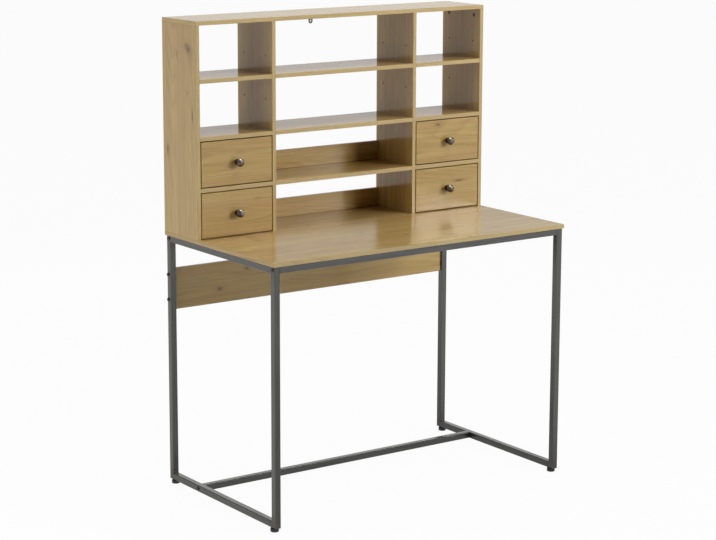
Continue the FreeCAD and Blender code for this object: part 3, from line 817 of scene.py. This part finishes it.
@dataclass
class SteelFrame:
    """The tube frame, with weld beads in the inner corners of its two side frames.

    Attributes:
        finish: The tube's finish.
        tube: Width of the square tube.
        leg_faces: The legs' inner faces, y.
        rail_faces: Inner faces of the bottom and top rails, z.
        middle: The side frames' middle, x, on the right.
        bead: Radius of a weld bead.
        bead_inset: How far a bead ends from the tube's sides.
        sunk: How deep a bead's root lies in the tube.
        steps: Rings of points along a bead.
        arc: Steps round a ring.
        ripples: Ripples along a bead.
        ripple_start: Where in a ripple a bead begins, in radians.
        ripple_depth: Depth of a ripple, as a share of the radius.
        hollow: How hollow a bead's face is, as a share.
        blunt: Least size at a bead's ends, as a share, and the power that blunts them.
        lean: How far a bead sways to one side.
        sway: Sways along a bead, and how its x and z shift them.
        bulge: How far a ripple bows along the bead.
        seeds: The step from one tube's number to the next one's, and the beads' number.
    """

    finish: SteelFinish
    tube: float = 0.019
    leg_faces: float = 0.264
    rail_faces: Span = (0.031, 0.723)
    middle: float = 0.4945
    bead: float = 0.0026
    bead_inset: float = 0.0022
    sunk: float = 0.0006
    steps: int = 64
    arc: int = 9
    ripples: int = 7
    ripple_start: float = 0.4
    ripple_depth: float = 0.14
    hollow: float = 0.28
    blunt: Span = (0.25, 0.35)
    lean: float = 0.0004
    sway: Shares = (2.3, 90.0, 40.0)
    bulge: float = 0.0006
    seeds: Span = (3.1, 40.0)

    def corners(self, x: float) -> list[Corner]:
        """Gives the inner corners of the side frame whose middle is at x."""
        rails = tuple(zip(self.rail_faces, (1, -1)))
        return [Corner((x, end * self.leg_faces, z), (-end, up)) for end in (-1, 1) for z, up in rails]

    def ring(self, share: float, corner: Corner) -> list[Point]:
        """Gives one ring of points round a bead.

        Args:
            share: Place along the bead, 0 to 1.
            corner: The corner it lies in.

        Returns:
            The root in the corner, and the points of the face.
        """
        x, y, z = corner.point
        into_y, into_z = corner.into
        along = x + (2 * share - 1) * (self.tube / 2 - self.bead_inset)
        taper = max(self.blunt[0], math.sin(math.pi * share)) ** self.blunt[1]
        wave = abs(math.sin(math.pi * self.ripples * share + self.ripple_start))
        size = self.bead * taper * (1.0 - self.ripple_depth + self.ripple_depth * wave)
        sways, by_x, by_z = self.sway
        sway = self.lean * math.sin(sways * share * math.tau + x * by_x + z * by_z)
        points = [(along, y - into_y * self.sunk, z - into_z * self.sunk)]
        for step in range(self.arc + 1):
            angle = step / self.arc * math.pi / 2
            flat = 1.0 - self.hollow + self.hollow * abs(math.cos(2 * angle))
            bow = math.sin(2 * angle)
            reach_y = size * math.cos(angle) * flat + sway * bow - (self.sunk if step == self.arc else 0.0)
            reach_z = size * math.sin(angle) * flat - (self.sunk if step == 0 else 0.0)
            points.append((along + self.bulge * bow, y + into_y * reach_y, z + into_z * reach_z))
        return points

    def weld(self, name: str, corner: Corner) -> Object:
        """Builds one rippled fillet bead along a corner.

        Args:
            name: The piece's name.
            corner: The corner it lies in.

        Returns:
            The bead.
        """
        mesh = bmesh.new()
        rings = [[mesh.verts.new(point) for point in self.ring(step / self.steps, corner)]
                 for step in range(self.steps + 1)]
        for first, second in zip(rings, rings[1:]):
            for index in range(len(first)):
                after = (index + 1) % len(first)
                mesh.faces.new((first[index], first[after], second[after], second[index]))
        mesh.faces.new(rings[0])
        mesh.faces.new(rings[-1])
        bmesh.ops.recalc_face_normals(mesh, faces=mesh.faces)
        for face in mesh.faces:
            face.smooth = True
        return linked(name, mesh)

    def build(self) -> None:
        """Lays a bead in each inner corner."""
        material = self.finish.material("steel_weld_bead", Axis.X, self.seeds[1])
        for side, x in (("left", -self.middle), ("right", self.middle)):
            for corner in self.corners(x):
                end = "front" if corner.point[Axis.Y] < 0 else "rear"
                level = "foot" if corner.into[1] > 0 else "head"
                piece = self.weld(f"weld_bead_{side}_{end}_{level}", corner)
                piece.data.materials.append(material)
                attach(piece, "desk")
                LOG.info("built %s", piece.name)

    def dress(self) -> None:
        """Gives each tube steel whose streaks run its own way."""
        welds = tuple(corner.point[1:] for corner in self.corners(self.middle))
        for index, node in enumerate(nodes_in("frame_steel")):
            length = longest_axes(node)[0]
            near = () if length is Axis.X else welds
            dress(node, self.finish.material(f"steel_{node}", length, self.seeds[0] * index, near))


@dataclass
class DrawerKnobs:
    """The four turned knobs.

    Attributes:
        finish: Their metal.
        seed_step: The step from one knob's number to the next one's.
    """

    finish: KnobFinish
    seed_step: float = 1.3

    def dress(self) -> None:
        """Gives each knob its own turned metal."""
        for index, node in enumerate(nodes_in("knob_metal")):
            dress(node, self.finish.material(node, self.seed_step * index))


@dataclass
class Fittings:
    """Feet, screws, cams, pins, dowels, thin panels and the wall bracket.

    Attributes:
        finishes: The finish of each material slot.
        own: The finish of each node that differs from its slot.
    """

    finishes: Mapping[str, MottledFinish]
    own: Mapping[str, MottledFinish]

    def dress(self) -> None:
        """Gives every small fitting its own finish or that of its slot."""
        for slot, finish in self.finishes.items():
            material = finish.material()
            for node in nodes_in(slot):
                if node not in self.own:
                    dress(node, material)
        for node, finish in self.own.items():
            dress(node, finish.material())


@dataclass(frozen=True)
class View:
    """Where the photograph was taken from.

    Attributes:
        place: The camera's place.
        turn: Its turn from +Y towards +X, in degrees.
        drop: How far it looks down, in degrees.
        roll: How far it leans, in degrees.
        lens: Focal length in millimetres.
        sensor: Width of the sensor in millimetres.
        shift: Shift of the picture, in shares of its width.
        reach: How far it sees.
    """

    place: Point = (-3.484145, -4.849102, 1.869559)
    turn: float = 33.857
    drop: float = 10.793
    roll: float = -0.112
    lens: float = 105.088
    sensor: float = 36.0
    shift: Span = (0.0810, -0.0489)
    reach: float = 200.0

    def matrix(self) -> Matrix:
        """Works out how the camera stands.

        Returns:
            Its matrix.
        """
        turn, drop, roll = (math.radians(angle) for angle in (self.turn, self.drop, self.roll))
        ahead = Vector((math.sin(turn) * math.cos(drop), math.cos(turn) * math.cos(drop), -math.sin(drop)))
        level = Vector((math.cos(turn), -math.sin(turn), 0.0))
        upright = level.cross(ahead)
        right = level * math.cos(roll) + upright * math.sin(roll)
        up = upright * math.cos(roll) - level * math.sin(roll)
        return Matrix.Translation(self.place) @ Matrix((right, up, -ahead)).transposed().to_4x4()


@dataclass(frozen=True)
class Lamp:
    """A soft box.

    Attributes:
        name: Its name.
        place: Where its middle is.
        aim: The point it faces.
        size: Its width and height.
        power: Its power in watts.
        gloss: How gloss mirrors it.
    """

    name: str
    place: Point
    aim: Point
    size: Span
    power: float
    gloss: Gloss

    def behind(self, ending: str, gap: float) -> "Lamp":
        """Gives a lamp like this one, with an ending to its name, that hangs a gap further from its aim."""
        away = (Vector(self.place) - Vector(self.aim)).normalized() * gap
        return replace(self, name=self.name + ending, place=tuple(Vector(self.place) + away))

    def matrix(self) -> Matrix:
        """Gives the matrix of a thing in the lamp's place whose bright side, -Z, faces the aim."""
        turn = (Vector(self.aim) - Vector(self.place)).to_track_quat("-Z", "Y").to_matrix().to_4x4()
        return Matrix.Translation(self.place) @ turn


@dataclass
class Studio:
    """A pale floor, soft lamps, a white surround and the camera.

    Attributes:
        view: Where the photograph was taken from.
        lamps: The lamps.
        floor_size: Width and depth of the floor.
        floor_cells: Squares along its side.
        floor_tones: Its greys.
        floor_grain: Clouds along one metre of it.
        floor_white: Share of plain white in what is seen of it.
        floor_glow: Its light as gloss sees it, dimmed by the desk as painted shade and brighter to its sides
            as painted light.
        glow_left: How far left of the middle that light begins to change and is full.
        glow_right: The same to the right.
        ambient: Light of the surround on the object, from in front and behind.
        ambient_turn: Facing back where that of behind begins and is full.
        mirrored: The surround as gloss sees it at eye level, in front and behind.
        mirrored_turn: The same for that one.
        dusk: How fast that one falls with height.
        dusk_end: Least share of it that is left.
        dimmed: Share of a lamp's light that boards mirror to the eye.
        apart: How far behind a lamp its card hangs, and its twin behind the card.
        wood_slots: The slots of wooden pieces.
    """

    view: View
    lamps: tuple[Lamp, ...]
    floor_size: Span = (80.0, 80.0)
    floor_cells: int = 8
    floor_tones: Span = (0.80, 0.83)
    floor_grain: float = 3.0
    floor_white: float = 0.96
    floor_glow: Span = (0.72, 1.2)
    glow_left: Span = (0.4, 0.7)
    glow_right: Span = (0.5, 0.9)
    ambient: Span = (0.02, 0.25)
    ambient_turn: Span = (-0.05, 0.15)
    mirrored: Span = (0.42, 0.95)
    mirrored_turn: Span = (-0.75, 0.05)
    dusk: float = 1.45
    dusk_end: float = 0.2
    dimmed: float = 0.04
    apart: float = 0.02
    wood_slots: tuple[str, ...] = ("oak_board", "hardboard", "dowel_wood")

    def seen(self, shader: Shader) -> Signal:
        """Is 1 for what the camera, a reflection or a clear piece sees."""
        rays = [shader.ray(name) for name in ("Is Camera Ray", "Is Glossy Ray", "Is Transmission Ray")]
        return rays[0].most(rays[1]).most(rays[2])

    def sheet(self, name: str, size: Span, cells: int, material: Material) -> Object:
        """Makes a flat sheet.

        Args:
            name: Its name.
            size: Its width and height.
            cells: Squares along a side.
            material: Its material.

        Returns:
            The sheet.
        """
        mesh = bmesh.new()
        scale = Matrix.Diagonal((*size, 1.0, 1.0))
        bmesh.ops.create_grid(mesh, x_segments=cells, y_segments=cells, size=0.5, matrix=scale)
        piece = linked(name, mesh)
        piece.data.materials.append(material)
        return piece

    def floor(self) -> None:
        """Lays the floor, which keeps a faint shadow and is clear from below."""
        shader, material = Shader.of_material("studio_floor")
        x, y, _ = shader.place()
        grain = shader.noise(x * self.floor_grain, y * self.floor_grain, 0.0)
        tone = shader.mix(grain, *(grey(level) for level in self.floor_tones))
        matt = shader.node("ShaderNodeBsdfDiffuse", {}, {"Color": tone})
        # Painted shade in what gloss sees of the floor by the desk, and painted light to its sides.
        aside = (x * -1.0).fade(*self.glow_left) + x.fade(*self.glow_right)
        glow = shader.mix(aside, *(grey(level) for level in self.floor_glow))
        shown = shader.mix(shader.ray("Is Glossy Ray"), WHITE, glow)
        white = shader.node("ShaderNodeEmission", {}, {"Color": shown, "Strength": 1.0})
        share = self.seen(shader) * self.floor_white
        above = shader.node("ShaderNodeMixShader", {}, {0: share, 1: matt, 2: white})
        clear = shader.node("ShaderNodeBsdfTransparent", {}, {})
        below = shader.node("ShaderNodeNewGeometry", {}, {}, "Backfacing")
        both = shader.node("ShaderNodeMixShader", {}, {0: below, 1: above, 2: clear})
        shader.node_out("ShaderNodeOutputMaterial", both)
        piece = self.sheet("floor", self.floor_size, self.floor_cells, material)
        LOG.info("laid floor")

    def card(self, lamp: Lamp) -> None:
        """Hangs a bright card in a lamp's place, which only gloss sees.

        The eye sees it mirrored once as a dim sheen, and at the lamp's full strength where one board
        mirrors another.

        Args:
            lamp: The lamp.
        """
        shader, material = Shader.of_material(lamp.name)
        again = (shader.ray("Diffuse Depth") + shader.ray("Glossy Depth") - 1.0).least(1.0).most(0.0)
        bright = lamp.power / (math.pi * lamp.size[0] * lamp.size[1])
        strength = (self.dimmed + again * (1.0 - self.dimmed)) * bright
        light = shader.node("ShaderNodeEmission", {}, {"Color": WHITE, "Strength": strength})
        shader.node_out("ShaderNodeOutputMaterial", light)
        material.cycles.emission_sampling = "NONE"
        piece = self.sheet(lamp.name, lamp.size, 1, material)
        piece.matrix_world = lamp.matrix()
        piece.visible_camera = piece.visible_diffuse = False
        piece.visible_shadow = piece.visible_transmission = False
        LOG.info("hung %s", lamp.name)

    def metal_pieces(self) -> Collection:
        """Gathers the pieces that aren't wooden, for a lamp to shine on.

        Returns:
            Their collection.
        """
        boards = {frame["nodes"][node] for slot in self.wood_slots for node in nodes_in(slot)}
        group = bpy.data.collections.new("metal_pieces")
        for piece in bpy.context.scene.objects:
            if piece.type == "MESH" and piece not in boards:
                group.objects.link(piece)
        return group

    def hang(self, lamp: Lamp, metal: Collection) -> None:
        """Hangs a lamp, and where its gloss is soft a card for the boards and a twin for the metal.

        Args:
            lamp: The lamp.
            metal: The pieces that aren't wooden.
        """
        data = bpy.data.lights.new(lamp.name, "AREA")
        data.shape = "RECTANGLE"
        data.size, data.size_y = lamp.size
        data.energy = lamp.power
        piece = bpy.data.objects.new(lamp.name, data)
        piece.matrix_world = lamp.matrix()
        piece.visible_camera = False
        piece.visible_glossy = lamp.gloss in (Gloss.FULL, Gloss.METAL)
        bpy.context.scene.collection.objects.link(piece)
        LOG.info("hung %s", lamp.name)
        if lamp.gloss is Gloss.METAL:
            piece.visible_diffuse = False
            piece.light_linking.receiver_collection = metal
        elif lamp.gloss is Gloss.SOFT:
            self.card(lamp.behind("_card", self.apart))
            self.hang(replace(lamp.behind("_in_metal", 2 * self.apart), gloss=Gloss.METAL), metal)

    def world(self) -> None:
        """Surrounds the desk with white, dimmer in front and overhead as gloss sees it."""
        world = bpy.data.worlds.new("studio_world")
        world.use_nodes = True
        bpy.context.scene.world = world
        shader = Shader(world.node_tree)
        _, ahead, up = shader.parts(shader.node("ShaderNodeTexCoord", {}, {}, "Generated"))
        soft, shine = (front + (behind - front) * ahead.fade(*turn) for (front, behind), turn in
                       ((self.ambient, self.ambient_turn), (self.mirrored, self.mirrored_turn)))
        shine = shine * (1.0 - up.most(0.0) * self.dusk).most(self.dusk_end)
        level = soft.towards(shine, self.seen(shader)).most(shader.ray("Is Camera Ray"))
        light = shader.node("ShaderNodeBackground", {}, {"Color": WHITE, "Strength": level})
        shader.node_out("ShaderNodeOutputWorld", light)

    def camera(self) -> None:
        """Sets the camera where the photograph was taken from."""
        data = bpy.data.cameras.new("camera")
        data.sensor_fit = "HORIZONTAL"
        data.sensor_width = self.view.sensor
        data.lens = self.view.lens
        data.shift_x, data.shift_y = self.view.shift
        data.clip_end = self.view.reach
        piece = bpy.data.objects.new("camera", data)
        piece.matrix_world = self.view.matrix()
        bpy.context.scene.collection.objects.link(piece)
        bpy.context.scene.camera = piece

    def build(self) -> None:
        """Sets up the whole studio."""
        bpy.context.scene.view_settings.view_transform = "Standard"
        metal = self.metal_pieces()
        self.floor()
        for lamp in self.lamps:
            self.hang(lamp, metal)
        self.world()
        self.camera()


KNOTS: Mapping[str, tuple[Knot, ...]] = {
    "left_side_panel": (
        Knot((-0.508, 0.142, 1.288), 0.0100, 1.0, 0.75),
        Knot((-0.508, 0.156, 1.297), 0.0090, 0.9, 0.65),
        Knot((-0.508, 0.131, 1.268), 0.0065, 2.4, 0.3),
        Knot((-0.508, 0.263, 0.995), 0.0070, 2.2, 0.6),
        Knot((-0.508, 0.150, 1.166), 0.0045, 1.5, 0.4),
        Knot((-0.508, 0.124, 1.105), 0.0032, 5.0, 0.7),
        Knot((-0.508, 0.205, 1.272), 0.0040, 2.0, 0.35),
    ),
    "modesty_panel": (
        Knot((-0.333, 0.271, 0.563), 0.005, 1.8, 0.9),
        Knot((-0.238, 0.271, 0.615), 0.004, 2.0, 0.7),
    ),
    "upper_right_drawer_front": (Knot((0.339, 0.103, 1.017), 0.004, 2.0, 0.7),),
    "lower_right_drawer_front": (Knot((0.422, 0.103, 0.840), 0.003, 6.0, 0.8),),
    "upper_left_drawer_front": (Knot((-0.366, 0.103, 0.994), 0.003, 3.0, 0.25),),
    "lower_left_drawer_front": (Knot((-0.306, 0.103, 0.856), 0.003, 3.0, 0.3),),
    "desktop": (
        Knot((0.206, -0.115, 0.754), 0.006, 3.0, 0.4),
        Knot((0.139, -0.220, 0.754), 0.007, 2.6, 0.4),
        Knot((-0.362, 0.046, 0.754), 0.026, 0.35, 0.3),
        Knot((-0.370, 0.006, 0.754), 0.006, 5.0, 0.4),
        Knot((-0.259, -0.028, 0.754), 0.005, 7.0, 0.3),
        Knot((-0.242, -0.140, 0.754), 0.006, 6.0, 0.3),
        Knot((-0.058, -0.052, 0.754), 0.012, 2.0, 0.25),
    ),
}

SLOT_FINISHES: Mapping[str, MottledFinish] = {
    "black_plastic": MottledFinish(
        "foot_plastic", (0.010, 0.010, 0.010), (0.024, 0.024, 0.024), 0.0, 0.38, 1500.0, 0.00005),
    "black_steel": MottledFinish(
        "blackened_steel", (0.050, 0.049, 0.048), (0.090, 0.088, 0.085), 0.9, 0.36, 1200.0, 0.00003),
    "zinc_steel": MottledFinish(
        "zinc_plate", (0.36, 0.36, 0.34), (0.52, 0.52, 0.50), 1.0, 0.33, 500.0, 0.00003),
    "pale_steel": MottledFinish(
        "galvanised_steel", (0.14, 0.138, 0.13), (0.22, 0.217, 0.21), 1.0, 0.42, 260.0, 0.00004),
    "hardboard": MottledFinish(
        "brown_hardboard", srgb(120, 88, 54), srgb(156, 120, 80), 0.0, 0.55, 620.0, 0.00008),
    "dowel_wood": MottledFinish(
        "beech", srgb(196, 158, 112), srgb(216, 184, 140), 0.0, 0.6, 900.0, 0.00006),
}

NODE_FINISHES: Mapping[str, MottledFinish] = {
    "cam_fittings": MottledFinish(
        "dark_cast_zinc", (0.040, 0.032, 0.022), (0.075, 0.062, 0.045), 0.7, 0.5, 900.0, 0.00005),
    "frame_bolts": MottledFinish(
        "coated_steel", (0.080, 0.080, 0.077), (0.125, 0.124, 0.118), 0.9, 0.34, 1200.0, 0.00003),
}

LAMPS = (
    Lamp("key_lamp", (3.22, -5.15, 3.25), (0.0, 0.1, 0.95), (1.1, 1.0), 130.0, Gloss.SOFT),
    Lamp("side_lamp", (4.3, -4.6, 2.58), (0.0, 0.1, 0.9), (1.1, 1.5), 132.0, Gloss.SOFT),
    Lamp("left_lamp", (-2.2, 0.15, 1.1), (0.0, 0.15, 0.9), (1.2, 1.6), 17.0, Gloss.NONE),
    Lamp("overhead_lamp", (0.2, -0.35, 3.3), (0.0, 0.0, 0.7), (1.6, 1.6), 34.5, Gloss.FULL),
    Lamp("back_lamp", (0.6, 3.4, 1.5), (0.0, 0.28, 0.8), (2.4, 1.8), 9.0, Gloss.NONE),
    Lamp("rail_sheen", (3.2, 4.8, 1.85), (0.0, 0.0, 0.05), (3.2, 1.8), 17.5, Gloss.METAL),
)


def main() -> None:
    """Builds and dresses the desk, then its studio."""
    logging.basicConfig(level=logging.INFO, format="%(message)s")
    OakBoards(OakFinish(), KNOTS).dress()
    steel = SteelFrame(SteelFinish())
    steel.build()
    steel.dress()
    DrawerKnobs(KnobFinish()).dress()
    Fittings(SLOT_FINISHES, NODE_FINISHES).dress()
    Studio(View(), LAMPS).build()


if __name__ == "__main__":
    main()
